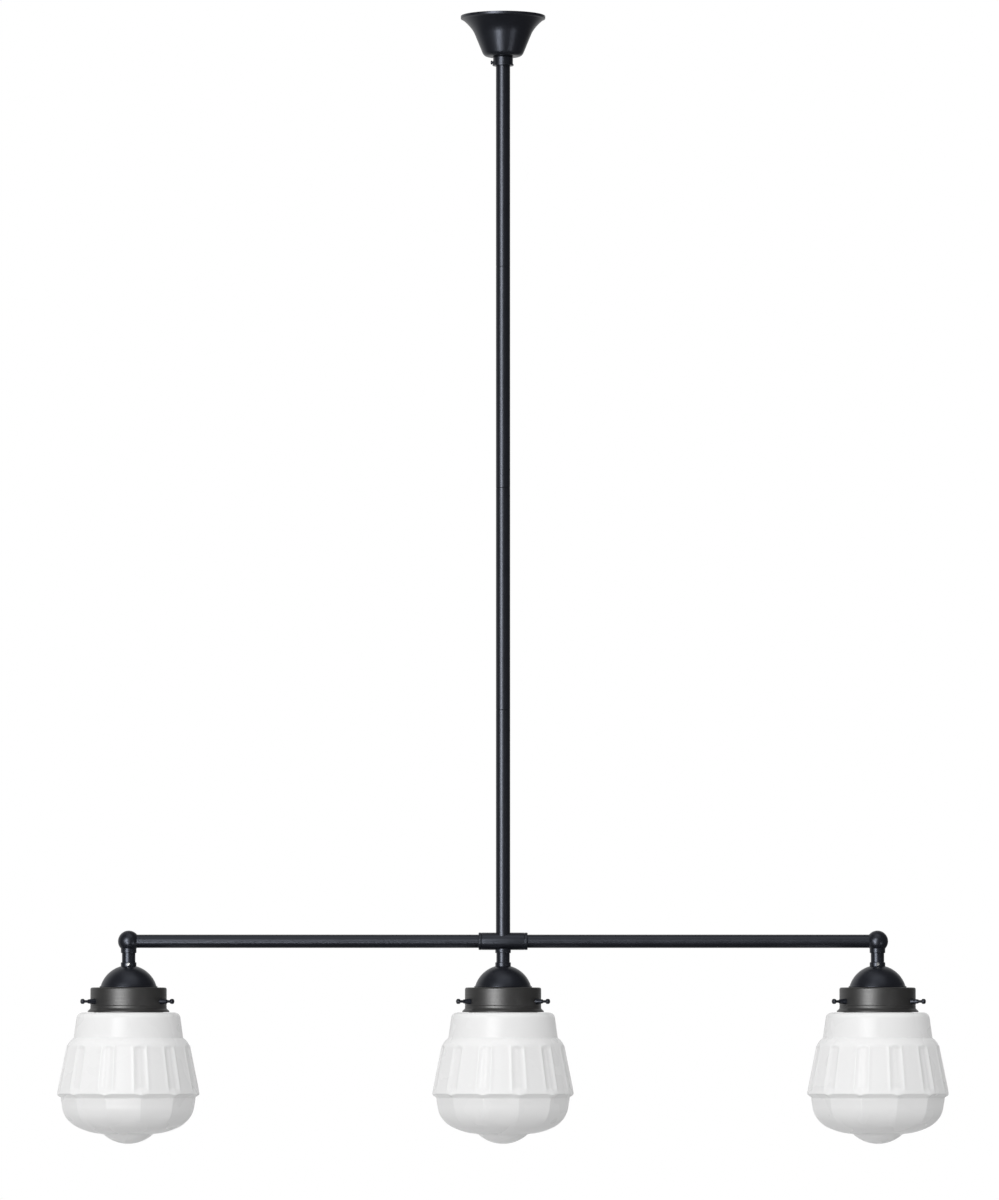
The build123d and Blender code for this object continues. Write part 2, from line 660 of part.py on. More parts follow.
# ---- shades: pressed glass, with twelve grooves down the flare ----
flare_dr = flare_foot_r - flare_top_r
flare_dz = flare_foot_drop - flare_top_drop
flare_length = sqrt(flare_dr**2 + flare_dz**2)
flute_axis_offset = sqrt(flute_cutter_r**2 - (flute_width / 2) ** 2)
flute_length = flare_length - flute_foot_gap


def flute_plane(x, angle):
    """A plane at the top of the flare, whose normal runs down a groove's axis."""
    out = Vector(cos(radians(angle)), sin(radians(angle)), 0)
    up = Vector(0, 0, 1)
    top = Vector(x, 0, gallery_foot - flare_top_drop) + out * flare_top_r
    normal = (out * flare_dz + up * flare_dr) / flare_length
    down = (out * flare_dr - up * flare_dz) / flare_length
    return Plane(top + normal * flute_axis_offset, z_dir=down)


with BuildPart() as groove_cutter:
    with BuildSketch(Plane.XZ):
        with Locations((0, flute_length / 2)):
            SlotOverall(flute_length + 2 * flute_cutter_r, 2 * flute_cutter_r, rotation=90)
        Rectangle(
            2 * flute_cutter_r, 4 * flute_length, align=(Align.MAX, Align.CENTER), mode=Mode.SUBTRACT
        )
    revolve(axis=Axis.Z)

bead_foot = screw_rise + screw_d / 2 + seat_gap
inner_bevel = glass_wall * sqrt(0.5)
bore_r = fitter_neck_r - glass_wall
nub_top = shade_depth - nub_sphere + sqrt(nub_sphere**2 - nub_r**2)
flute_step = 360 / flute_count
for name, x in lamps.items():
    with BuildPart() as shade:
        with BuildSketch(upright(x, gallery_foot)):
            with BuildLine():
                bead = Polyline(
                    (bore_r, bead_foot + fitter_bead_h),
                    (fitter_bead_r, bead_foot + fitter_bead_h),
                    (fitter_bead_r, bead_foot),
                    (fitter_neck_r, bead_foot),
                    (fitter_neck_r, -shoulder_drop),
                    (shoulder_r - shoulder_round, -shoulder_drop),
                )
                shoulder = TangentArc(
                    bead @ 1, (shoulder_r, -shoulder_drop - shoulder_round), tangent=(1, 0)
                )
                band = Line(shoulder @ 1, (band_foot_r, -band_foot_drop))
                step = Line(band @ 1, (flare_step_r, -flare_step_drop))
                crown = ThreePointArc(
                    step @ 1, (crown_r, -crown_drop), (flare_top_r, -flare_top_drop)
                )
                flare = Line(crown @ 1, (flare_foot_r, -flare_foot_drop))
                kick = Line(flare @ 1, (rim_r, -rim_drop))
                rim = Line(kick @ 1, (rim_r - rim_height, -rim_drop - rim_height))
                under = Line(rim @ 1, (bowl_r, -rim_drop - 2 * rim_height))
                bowl = Line(under @ 1, (bowl_side_r, -bowl_side_drop))
                corner = ThreePointArc(
                    bowl @ 1, (bowl_corner_r, -bowl_corner_drop), (bowl_floor_r, -bowl_floor_drop)
                )
                floor = ThreePointArc(
                    corner @ 1, (bowl_mid_r, -bowl_mid_drop), (nub_ledge_r, -nub_ledge_drop)
                )
                ledge = Line(floor @ 1, (nub_r, -nub_top))
                nub = RadiusArc(ledge @ 1, (0, -shade_depth), nub_sphere)
                middle = Line(nub @ 1, (0, glass_wall - nub_top))
                inner_floor = TangentArc(
                    middle @ 1,
                    (bowl_floor_r - bowl_floor_inset, glass_wall - bowl_floor_drop),
                    tangent=(1, 0),
                )
                inner_corner = ThreePointArc(
                    inner_floor @ 1,
                    (bowl_corner_r - inner_bevel, inner_bevel - bowl_corner_drop),
                    (bowl_side_r - glass_wall, -bowl_side_drop),
                )
                Polyline(
                    inner_corner @ 1,
                    (flare_foot_r - 1.5 * glass_wall, -flare_foot_drop),
                    (flare_top_r - glass_wall, -flare_top_drop),
                    (band_foot_r - glass_wall, -band_foot_drop),
                    (shoulder_r - glass_wall, -shoulder_drop - shoulder_round),
                    (shoulder_r - shoulder_round, -shoulder_drop - glass_wall),
                    (bore_r, -shoulder_drop - glass_wall),
                    bead @ 0,
                )
            make_face()
        revolve(axis=lamp_axis(x))
        grooves = [flute_plane(x, flute_angle - 90 + n * flute_step) for n in range(flute_count)]
        with Locations(*grooves):
            add(groove_cutter.part, mode=Mode.SUBTRACT)
    write(shade, f"shade_{name}")
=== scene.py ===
import json

import bpy
import numpy as np
from bpy.props import FloatProperty, FloatVectorProperty, IntProperty, PointerProperty
from bpy.types import Operator, Panel, PropertyGroup
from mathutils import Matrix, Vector


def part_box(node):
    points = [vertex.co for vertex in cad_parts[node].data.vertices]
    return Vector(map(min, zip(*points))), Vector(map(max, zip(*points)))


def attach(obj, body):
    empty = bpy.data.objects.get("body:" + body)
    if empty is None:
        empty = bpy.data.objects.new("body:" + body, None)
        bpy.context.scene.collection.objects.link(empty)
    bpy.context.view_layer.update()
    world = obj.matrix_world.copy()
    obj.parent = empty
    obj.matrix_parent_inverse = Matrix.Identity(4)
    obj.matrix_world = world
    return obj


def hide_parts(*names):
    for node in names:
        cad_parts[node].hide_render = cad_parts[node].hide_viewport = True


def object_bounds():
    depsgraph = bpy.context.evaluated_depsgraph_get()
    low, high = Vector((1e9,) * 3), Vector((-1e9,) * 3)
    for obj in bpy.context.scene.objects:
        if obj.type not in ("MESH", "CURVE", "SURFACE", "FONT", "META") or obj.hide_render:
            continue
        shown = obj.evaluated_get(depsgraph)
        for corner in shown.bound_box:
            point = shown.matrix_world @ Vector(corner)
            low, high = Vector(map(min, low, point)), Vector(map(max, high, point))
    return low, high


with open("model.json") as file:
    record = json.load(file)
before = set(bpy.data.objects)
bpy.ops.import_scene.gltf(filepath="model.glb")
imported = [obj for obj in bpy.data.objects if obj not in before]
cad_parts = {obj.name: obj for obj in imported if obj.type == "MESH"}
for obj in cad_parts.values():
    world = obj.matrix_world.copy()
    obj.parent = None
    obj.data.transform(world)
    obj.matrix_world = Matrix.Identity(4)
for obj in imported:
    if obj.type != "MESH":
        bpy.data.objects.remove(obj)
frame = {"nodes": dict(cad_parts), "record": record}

bl_info = {
    "name": "Linear island pendant",
    "version": (1, 0, 0),
    "blender": (4, 5, 0),
    "location": "3D View > Sidebar > Pendant",
    "description": "Makes the glass, the spun metal, the finishes and the studio of a three-lamp pendant",
    "category": "Object",
}

CAD_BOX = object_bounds()
LAMPS = ("left", "centre", "right")
MM = 0.001
ROUND_STEPS = 256


# ---- sizes and colours that a user would change ----


class PendantShade(PropertyGroup):
    groove_count: IntProperty(
        name="Grooves",
        description="Grooves round the flare, and flats round the bowl",
        default=12,
        min=6,
        max=24,
    )
    groove_turn: FloatProperty(
        name="Turn",
        description="Angle of one groove to the right of the front",
        default=0.2356,
        subtype="ANGLE",
    )
    groove_width: FloatProperty(
        name="Groove width", description="Angle that one groove takes up", default=0.1868, subtype="ANGLE"
    )
    groove_depth: FloatProperty(
        name="Groove depth", description="Depth of a groove at its middle", default=0.0021, unit="LENGTH"
    )
    lip_height: FloatProperty(
        name="Lip height",
        description="Height of the soft lip along each side of a groove",
        default=0.00045,
        unit="LENGTH",
    )
    wall: FloatProperty(
        name="Wall", description="Thickness of the glass", default=0.0032, unit="LENGTH"
    )
    flatness: FloatProperty(
        name="Flat sides", description="How flat the sides between two grooves are, from 0 to 1", default=0.7
    )
    colour: FloatVectorProperty(
        name="Glass", description="Colour of the opal glass", default=(0.80, 0.80, 0.80), subtype="COLOR"
    )


class PendantMetal(PropertyGroup):
    paint: FloatVectorProperty(
        name="Paint",
        description="Colour of the satin black paint",
        default=(0.0065, 0.0070, 0.0100),
        subtype="COLOR",
    )
    spun: FloatVectorProperty(
        name="Spun metal",
        description="Colour of the darkened spun galleries",
        default=(0.016, 0.0155, 0.015),
        subtype="COLOR",
    )
    line_depth: FloatProperty(
        name="Turned line", description="Depth of the fine turned lines", default=0.00035, unit="LENGTH"
    )
    spray: FloatProperty(
        name="Spray", description="Strength of the grain of the paint", default=0.03
    )


class PendantStage(PropertyGroup):
    distance: FloatProperty(
        name="Distance", description="From the camera to the pendant", default=8.6, unit="LENGTH"
    )
    lens: FloatProperty(name="Lens", description="Focal length in millimetres", default=229.75)
    eye: FloatProperty(
        name="Eye level", description="Height of the camera below the ceiling", default=-1.148, unit="LENGTH"
    )
    floor: FloatProperty(
        name="Floor", description="Height of the floor below the ceiling", default=-2.1, unit="LENGTH"
    )
    room_light: FloatProperty(
        name="Room light", description="Strength of the soft light of the room", default=0.32
    )
    key_light: FloatProperty(
        name="Key light", description="Power of the window light", default=14.0, subtype="POWER"
    )


# ---- surfaces ----


def skin(grid, wrap_rows=False):
    """Quads between the points of a grid of rows and columns. The columns close on themselves, and the rows
    do so if wrapped; point (i, j) is joined to (i, j + 1), (i + 1, j + 1) and (i + 1, j)."""
    rows, columns = grid.shape[:2]
    index = np.arange(rows * columns).reshape(rows, columns)
    beside = np.roll(index, -1, axis=1)
    under, across = np.roll(index, -1, axis=0), np.roll(beside, -1, axis=0)
    quads = np.stack([index, beside, across, under], axis=-1)
    return quads.reshape(-1, 4) if wrap_rows else quads[:-1].reshape(-1, 4)


def outward(points, quads):
    """Turns the faces round if the volume that they enclose, the sum of a . (b x c) / 6, is negative."""
    a, b, c, d = (points[quads[:, k]] for k in range(4))
    volume = np.sum(a * np.cross(b, c)) + np.sum(a * np.cross(c, d))
    return quads if volume > 0 else quads[:, ::-1]


def piece(name, body, material, grid, stands_for, crease=35.0):
    """A closed mesh made from a grid in millimetres, shaded smooth up to the crease angle. It rides on its
    CAD body in place of a CAD node."""
    points = grid.reshape(-1, 3) * MM
    quads = outward(points - points.mean(0), skin(grid, wrap_rows=True))
    mesh = bpy.data.meshes.new(name)
    mesh.from_pydata(points.tolist(), [], quads.tolist())
    mesh.update()
    mesh.validate()
    mesh.shade_smooth()
    mesh.set_sharp_from_angle(angle=np.radians(crease))
    mesh.materials.append(material)
    thing = bpy.data.objects.new(name, mesh)
    bpy.context.scene.collection.objects.link(thing)
    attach(thing, body)
    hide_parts(stands_for)
    return thing


def turned(profile, angles, centre=(0.0, 0.0, 0.0)):
    """A profile of radii and heights turned about the vertical, (r cos a, r sin a, z), and moved."""
    radius, height = profile[:, 0][:, None], profile[:, 1][:, None]
    grid = np.stack([radius * np.cos(angles), radius * np.sin(angles), height + 0 * angles], axis=-1)
    return grid + np.asarray(centre)


def evenly(count):
    """Angles of a full turn, without its last one."""
    return np.linspace(0, 2 * np.pi, count, endpoint=False)


def eased(corners, cut, steps=5, closed=False):
    """A profile with each corner P rounded by the parabola (1 - t)^2 A + 2 t (1 - t) P + t^2 B, where A and B
    lie the cut's length from the corner on its two sides. An open profile keeps its two ends."""
    corners = np.asarray(corners, float)
    cut = np.broadcast_to(np.asarray(cut, float), len(corners))[:, None]
    before, after = np.roll(corners, 1, axis=0) - corners, np.roll(corners, -1, axis=0) - corners
    length_before = np.linalg.norm(before, axis=1, keepdims=True)
    length_after = np.linalg.norm(after, axis=1, keepdims=True)
    start = corners + before / length_before * np.minimum(cut, 0.48 * length_before)
    end = corners + after / length_after * np.minimum(cut, 0.48 * length_after)
    t = np.linspace(0, 1, steps)[None, :, None]
    bend = (1 - t) ** 2 * start[:, None] + 2 * t * (1 - t) * corners[:, None] + t**2 * end[:, None]
    if closed:
        return bend.reshape(-1, 2)
    return np.concatenate([corners[:1], bend[1:-1].reshape(-1, 2), corners[-1:]])


def bow(start, middle, end, steps):
    """The parabola from start to end through middle: its control point is 2 middle - (start + end) / 2."""
    start, middle, end = (np.asarray(p, float) for p in (start, middle, end))
    control = 2 * middle - (start + end) / 2
    t = np.linspace(0, 1, steps)[:, None]
    return (1 - t) ** 2 * start + 2 * t * (1 - t) * control + t**2 * end


def run(start, end, steps):
    """Points evenly along a straight run."""
    return np.linspace(start, end, steps)


def chain(*runs):
    """Runs joined end to end, with the point that two of them share kept once."""
    return np.concatenate([runs[0]] + [r[1:] for r in runs[1:]])


def smooth(t):
    """3 t^2 - 2 t^3 between 0 and 1, flat outside."""
    t = np.clip(t, 0, 1)
    return t * t * (3 - 2 * t)


def below(height, start, over):
    """0 above a starting height, rising softly to 1 over a distance below it."""
    return smooth((start - height) / over)


def gallery_foot(lamp):
    """The middle of the lower edge of a lamp's gallery, in millimetres."""
    low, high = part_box(f"gallery_{lamp}")
    return np.array([(low.x + high.x) / 2, 0.0, low.z]) / MM


# ---- finishes ----


def new_finish(name):
    """An empty material with a Principled shader, and its node tree."""
    material = bpy.data.materials.new(name)
    material.use_nodes = True
    tree = material.node_tree
    return material, tree, tree.nodes["Principled BSDF"]


def place_of(tree, scale=(1.0, 1.0, 1.0)):
    """Object coordinates, stretched by a scale along each axis."""
    where = tree.nodes.new("ShaderNodeTexCoord")
    stretch = tree.nodes.new("ShaderNodeMapping")
    stretch.inputs["Scale"].default_value = scale
    tree.links.new(where.outputs["Object"], stretch.inputs["Vector"])
    return stretch.outputs["Vector"]


def noise(tree, place, scale, detail=2.0):
    """Noise of a given scale over a place."""
    node = tree.nodes.new("ShaderNodeTexNoise")
    node.inputs["Scale"].default_value = scale
    node.inputs["Detail"].default_value = detail
    tree.links.new(place, node.inputs["Vector"])
    return node.outputs["Fac"]


def ranged(tree, value, low, high):
    """A value from 0 to 1 taken to the range from low to high."""
    node = tree.nodes.new("ShaderNodeMapRange")
    node.inputs["From Min"].default_value = 0.3
    node.inputs["From Max"].default_value = 0.7
    node.inputs["To Min"].default_value = low
    node.inputs["To Max"].default_value = high
    tree.links.new(value, node.inputs["Value"])
    return node.outputs["Result"]


def blended(tree, value, dark, light):
    """A colour between two by a value."""
    node = tree.nodes.new("ShaderNodeMix")
    node.data_type = "RGBA"
    node.inputs["A"].default_value = (*dark, 1)
    node.inputs["B"].default_value = (*light, 1)
    tree.links.new(value, node.inputs["Factor"])
    return node.outputs["Result"]


def bumped(tree, height, strength, distance, under=None):
    """A bump from a height, laid over another bump if there is one."""
    node = tree.nodes.new("ShaderNodeBump")
    node.inputs["Strength"].default_value = strength
    node.inputs["Distance"].default_value = distance
    tree.links.new(height, node.inputs["Height"])
    if under is not None:
        tree.links.new(under, node.inputs["Normal"])
    return node.outputs["Normal"]


def shades_of(colour, spread):
    """A colour a little darker and a little lighter than the given one."""
    colour = np.array(colour)
    return tuple(colour * (1 - spread)), tuple(colour * (1 + spread))


def satin_paint(colour, spray):
    """Satin black paint: a fine grain from the spray gun over slow changes of colour and gloss."""
    material, tree, shader = new_finish("satin_black_paint")
    place = place_of(tree)
    cloud = noise(tree, place, 45.0, 3.0)
    tree.links.new(blended(tree, cloud, *shades_of(colour, 0.12)), shader.inputs["Base Color"])
    tree.links.new(ranged(tree, cloud, 0.325, 0.355), shader.inputs["Roughness"])
    shader.inputs["IOR"].default_value = 1.55
    shader.inputs["Specular Tint"].default_value = (0.79, 0.85, 1.0, 1)
    grain = bumped(tree, noise(tree, place, 1600.0), spray, 0.0001)
    tree.links.new(grain, shader.inputs["Normal"])
    return material


def spun_metal(colour):
    """Darkened spun metal: fine level rings left by the spinning tool, some deeper than others."""
    material, tree, shader = new_finish("darkened_spun_metal")
    rings = noise(tree, place_of(tree, (6.0, 6.0, 1400.0)), 1.0, 4.0)
    deep = noise(tree, place_of(tree, (2.0, 2.0, 380.0)), 1.0, 1.0)
    cloud = noise(tree, place_of(tree), 30.0, 3.0)
    tree.links.new(blended(tree, cloud, *shades_of(colour, 0.10)), shader.inputs["Base Color"])
    tree.links.new(ranged(tree, rings, 0.40, 0.50), shader.inputs["Roughness"])
    shader.inputs["IOR"].default_value = 1.7
    under = bumped(tree, rings, 0.10, 0.0001)
    tree.links.new(bumped(tree, deep, 0.12, 0.0002, under), shader.inputs["Normal"])
    return material


def opal_glass(colour):
    """Pressed opal glass: milky through its wall, glossy, and a little wavy from the mould."""
    material, tree, shader = new_finish("opal_glass")
    place = place_of(tree)
    cloud = noise(tree, place, 22.0, 2.0)
    tree.links.new(blended(tree, cloud, *shades_of(colour, 0.012)), shader.inputs["Base Color"])
    tree.links.new(ranged(tree, cloud, 0.24, 0.30), shader.inputs["Roughness"])
    shader.inputs["IOR"].default_value = 1.45
    shader.inputs["Specular IOR Level"].default_value = 0.2
    shader.inputs["Subsurface Weight"].default_value = 0.25
    shader.inputs["Subsurface Radius"].default_value = (1.0, 1.0, 1.0)
    shader.inputs["Subsurface Scale"].default_value = 0.004
    waves = bumped(tree, noise(tree, place, 55.0, 1.0), 0.04, 0.0004)
    tree.links.new(waves, shader.inputs["Normal"])
    return material


def bare_metal(name, colour, roughness, stretch):
    """Bare metal with drawn or rolled lines along the axes that are stretched least."""
    material, tree, shader = new_finish(name)
    lines = noise(tree, place_of(tree, stretch), 1.0, 4.0)
    tree.links.new(blended(tree, lines, *shades_of(colour, 0.10)), shader.inputs["Base Color"])
    tree.links.new(ranged(tree, lines, roughness - 0.05, roughness + 0.07), shader.inputs["Roughness"])
    shader.inputs["Metallic"].default_value = 1.0
    tree.links.new(bumped(tree, lines, 0.15, 0.0001), shader.inputs["Normal"])
    return material


def smooth_body(name, colour, roughness, grain, strength):
    """Glazed, moulded or frosted white and pale pieces, with a grain of their own."""
    material, tree, shader = new_finish(name)
    place = place_of(tree)
    cloud = noise(tree, place, 60.0, 2.0)
    tree.links.new(blended(tree, cloud, *shades_of(colour, 0.03)), shader.inputs["Base Color"])
    tree.links.new(ranged(tree, cloud, roughness - 0.03, roughness + 0.03), shader.inputs["Roughness"])
    tree.links.new(bumped(tree, noise(tree, place, grain), strength, 0.0001), shader.inputs["Normal"])
    return material


FINISHES = {}


def finish_for(slot):
    """The finish of a record slot, made once."""
    metal = bpy.context.scene.pendant_metal
    shade = bpy.context.scene.pendant_shade
    makers = {
        "satin_black": lambda: satin_paint(metal.paint, metal.spray),
        "spun": lambda: spun_metal(metal.spun),
        "opal_glass": lambda: opal_glass(shade.colour),
        "bulb_white": lambda: smooth_body("frosted_bulb", (0.82, 0.82, 0.80), 0.45, 900.0, 0.05),
        "porcelain": lambda: smooth_body("glazed_porcelain", (0.78, 0.77, 0.74), 0.12, 300.0, 0.04),
        "block_plastic": lambda: smooth_body("moulded_block", (0.62, 0.60, 0.54), 0.40, 1500.0, 0.10),
        "cap_aluminium": lambda: bare_metal("drawn_aluminium", (0.80, 0.80, 0.79), 0.30, (8.0, 8.0, 900.0)),
        "zinc_steel": lambda: bare_metal("zinc_plated_steel", (0.62, 0.63, 0.64), 0.32, (250.0, 250.0, 40.0)),
        "screw_steel": lambda: bare_metal(
            "bright_screw_steel", (0.72, 0.72, 0.71), 0.24, (600.0, 600.0, 600.0)
        ),
    }
    if slot not in FINISHES:
        FINISHES[slot] = makers[slot]()
    return FINISHES[slot]


# ---- shades ----


def shade_profile(wall):
    """The outer and inner sections of the glass, as radii and heights from the gallery's lower edge. The
    outer one goes from the bead at the top down to the middle of the foot, and the inner one back up. Rounded
    parts are parabolas, the nub an arc and the rest straight runs."""
    fitter = eased(
        [(35.2, 15.6), (35.2, 17.6), (40.9, 17.6), (40.9, 13.6), (38.4, 13.6), (38.4, -0.5), (51.4, -0.5)],
        [0, 0.8, 1.2, 1.2, 1.0, 0.6, 0],
    )
    shoulder = bow((51.4, -0.5), (56.35, -2.55), (58.4, -7.5), 9)
    band = run((58.4, -7.5), (61.2, -27.9), 7)
    step = eased([(61.2, -27.9), (61.4, -28.9), (64.6, -31.6), (65.9, -33.3)], [0, 0.7, 0.9, 0], 5)
    crown = bow((65.9, -33.3), (67.9, -36.7), (69.0, -40.9), 9)
    flare = run((69.0, -40.9), (78.2, -86.5), 46)
    rim = eased(
        [
            (78.2, -86.5), (79.25, -90.4), (79.1, -91.3), (77.2, -92.6), (74.3, -95.9), (74.5, -97.6),
            (74.3, -99.0),
        ],
        [0, 0.7, 0.35, 0.8, 0.9, 0.7, 0],
        4,
    )
    bowl = run((74.3, -99.0), (73.4, -104.0), 6)
    corner = bow((73.4, -104.0), (68.6, -118.2), (57.4, -128.4), 18)
    base = bow((57.4, -128.4), (44.0, -133.7), (30.4, -136.1), 9)
    nub_radius, nub_reach = 41.0, 27.4
    nub_angle = np.linspace(np.arcsin(nub_reach / nub_radius), 0.004, 12)
    nub = np.stack([nub_radius * np.sin(nub_angle), -106.4 - nub_radius * np.cos(nub_angle)], axis=-1)
    ledge = eased([(30.4, -136.1), (29.0, -136.4), nub[0]], [0, 0.5, 0], 4)
    outside = chain(fitter, shoulder, band, step, crown, flare, rim, bowl, corner, base, ledge, nub)
    floor = -136.7 + wall
    inside = chain(
        run((0.2, floor), (30.0, floor + 0.4), 4),
        bow((30.0, floor + 0.4), (46.0, floor + 3.4), (56.4, floor + 8.4), 6),
        bow((56.4, floor + 8.4), (66.4, -116.0), (70.2, -104.0), 8),
        run((70.2, -104.0), (73.4, -86.5), 2),
        run((73.4, -86.5), (69.0 - wall, -40.9), 3),
        run((69.0 - wall, -40.9), (61.4 - wall, -28.6), 2),
        run((61.4 - wall, -28.6), (58.4 - wall, -7.5), 2),
        bow((58.4 - wall, -7.5), (53.6, -4.6), (51.4, -0.5 - wall), 5),
        run((51.4, -0.5 - wall), (35.2, -0.5 - wall), 2),
        run((35.2, -0.5 - wall), (35.2, 15.4), 3),
    )
    return outside, inside


def shade_angles(count, turn):
    """Angles round the shade, closer together over each groove and closest at its two edges."""
    half = np.interp(np.linspace(0, 1, 20), [0, 0.25, 0.72, 1], [0, 0.28, 0.46, 1])
    one = np.concatenate([-half[:0:-1], half[:-1]]) * np.pi / count
    starts = turn - np.pi / 2 + evenly(count)
    return (starts[:, None] + one).ravel(), np.tile(one, count)


def fluted(profile, angles, from_groove, sizes):
    """The outer surface of the glass. Its radius is the section's, times a flat-sided form with its corners
    in the grooves, (1 - f) + f cos(h) / cos(h - |a|), where a is the angle from the groove and h half the
    angle between two of them. From that comes off the groove, a parabola 1 - (a / w)^2 with softened edges,
    rounded off above and running out to nothing at the rim, where each corner hangs a little lower. A lip
    stands along each side of the groove, exp(-b^2), where b is the scaled angle from its ridge."""
    lip_offset, lip_spread, corner_spread = 0.018, 0.016, 0.055
    corner_drop, edge_softness, rim_flatness = 1.4, 0.02, 0.15
    half = np.pi / sizes.groove_count
    radius, height = profile[:, 0][:, None], profile[:, 1][:, None]
    away = np.abs(from_groove)[None, :]
    rounded_foot = 1 - below(height, -116.0, 18.0)
    flat = sizes.flatness * below(height, -31.0, 9.0) * rounded_foot
    flat = flat + rim_flatness * below(height, -91.0, 3.0) * rounded_foot
    sides = (1 - flat) + flat * np.cos(half) / np.cos(half - away)
    middle = (1 - flat) + flat * np.cos(half) / np.cos(np.radians(1.5))
    above = np.clip((height + 41.5) / 4.5, 0, None)
    fading = (1 - below(height, -84.0, 6.0)) * below(height, -33.0, 2.0)
    q = 1 - (away / (sizes.groove_width / 2)) ** 2 - above**2
    soft = 0.5 * (q + np.sqrt(q**2 + edge_softness)) * (q > -6)
    groove = sizes.groove_depth / MM * soft
    from_lip = (away - sizes.groove_width / 2 - lip_offset) / lip_spread
    lip = sizes.lip_height / MM * np.exp(-(from_lip**2)) * (above < 1)
    reach = radius * sides / middle - (groove - lip) * fading
    at_rim = below(height, -87.0, 3.0) * (1 - below(height, -92.5, 2.0))
    drop = corner_drop * np.exp(-((away / corner_spread) ** 2)) * at_rim
    return np.stack([reach * np.cos(angles), reach * np.sin(angles), height - drop], axis=-1)


class PENDANT_OT_shades(Operator):
    """Makes the three fluted opal glass shades in place of the plain CAD ones"""

    bl_idname = "pendant.shades"
    bl_label = "Glass shades"

    def execute(self, context):
        sizes = context.scene.pendant_shade
        outside, inside = shade_profile(sizes.wall / MM)
        angles, from_groove = shade_angles(sizes.groove_count, sizes.groove_turn)
        outer = fluted(outside, angles, from_groove, sizes)
        inner = turned(inside, angles)
        glass = np.concatenate([outer, inner])
        for lamp in LAMPS:
            piece(
                f"glass_shade_{lamp}",
                "pendant",
                finish_for("opal_glass"),
                glass + gallery_foot(lamp),
                stands_for=f"shade_{lamp}",
                crease=50.0,
            )
        return {"FINISHED"}


# ---- galleries ----


class PENDANT_OT_galleries(Operator):
    """Makes the three spun galleries, with a turned line over the flared lip"""

    bl_idname = "pendant.galleries"
    bl_label = "Spun galleries"

    def execute(self, context):
        depth = context.scene.pendant_metal.line_depth / MM
        bore, outer, lip, wall, top, line = 5.1, 42.75, 45.75, 1.0, 27.5, 7.2
        inner = outer - wall
        corners = [
            (bore, top), (outer, top), (outer, line + 0.4), (outer - depth, line), (outer, line - 0.4),
            (outer, 3.9), (lip, 1.2), (lip, 0.0), (lip - wall, 0.0), (inner, 3.2), (inner, top - wall),
            (bore, top - wall),
        ]
        cuts = [0.2, 2.4, 0.15, 0.15, 0.15, 0.9, 0.45, 0.35, 0.35, 0.9, 1.4, 0.2]
        profile = eased(corners, cuts, 6, closed=True)
        for lamp in LAMPS:
            piece(
                f"spun_gallery_{lamp}",
                "pendant",
                finish_for("spun"),
                turned(profile, evenly(ROUND_STEPS), gallery_foot(lamp)),
                stands_for=f"gallery_{lamp}",
            )
        return {"FINISHED"}


# ---- canopy ----


class PENDANT_OT_canopy(Operator):
    """Makes the spun canopy, a thin bell with a rim ring, a cove and a tapered side"""

    bl_idname = "pendant.canopy"
    bl_label = "Canopy"

    def execute(self, context):
        wall, rim_radius, bore, depth = 1.0, 47.75, 8.5, 46.0
        cove = bow((45.6, -3.9), (36.7, -12.7), (31.4, -21.7), 24)
        rim = eased([(rim_radius, 0.0), (rim_radius, -3.0), tuple(cove[0])], [0, 0.5, 0], 5)
        side = eased([tuple(cove[-1]), (21.4, -depth), (bore, -depth)], [0, 5.0, 0], 10)
        outside = chain(rim, cove, side)
        along = np.gradient(outside, axis=0)
        along /= np.linalg.norm(along, axis=1, keepdims=True)
        inside = outside + wall * np.stack([along[:, 1], -along[:, 0]], axis=-1)
        inside[:, 1] = np.clip(inside[:, 1], wall - depth, 0.0)
        inside[:, 0] = np.clip(inside[:, 0], bore, rim_radius - wall)
        profile = np.concatenate([outside, inside[::-1]])
        piece(
            "spun_canopy",
            "canopy",
            finish_for("satin_black"),
            turned(profile, evenly(ROUND_STEPS)),
            stands_for="canopy",
        )
        return {"FINISHED"}


# ---- cross sleeve ----


class PENDANT_OT_sleeve(Operator):
    """Makes the sleeve where the rod meets the bar, with a turned line near each end"""

    bl_idname = "pendant.sleeve"
    bl_label = "Cross sleeve"

    def execute(self, context):
        depth = context.scene.pendant_metal.line_depth / MM
        low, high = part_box("cross_sleeve")
        half = (high.x - low.x) / 2 / MM
        outer, inner, chamfer = 9.75, 7.55, 0.5
        line = half - 3.6
        right = [
            (outer, line - 0.45), (outer - depth, line), (outer, line + 0.45), (outer, half - chamfer),
            (outer - chamfer, half), (inner, half),
        ]
        left = [(r, -x) for r, x in right[::-1]]
        profile = eased(left + right, 0.12, 4, closed=True)
        angles = evenly(160)
        radius, along = profile[:, 0][:, None], profile[:, 1][:, None]
        grid = np.stack([along + 0 * angles, radius * np.sin(angles), radius * np.cos(angles)], axis=-1)
        piece(
            "turned_cross_sleeve",
            "pendant",
            finish_for("satin_black"),
            grid + (0.0, 0.0, (low.z + high.z) / 2 / MM),
            stands_for="cross_sleeve",
        )
        return {"FINISHED"}


# ---- seat ring ----


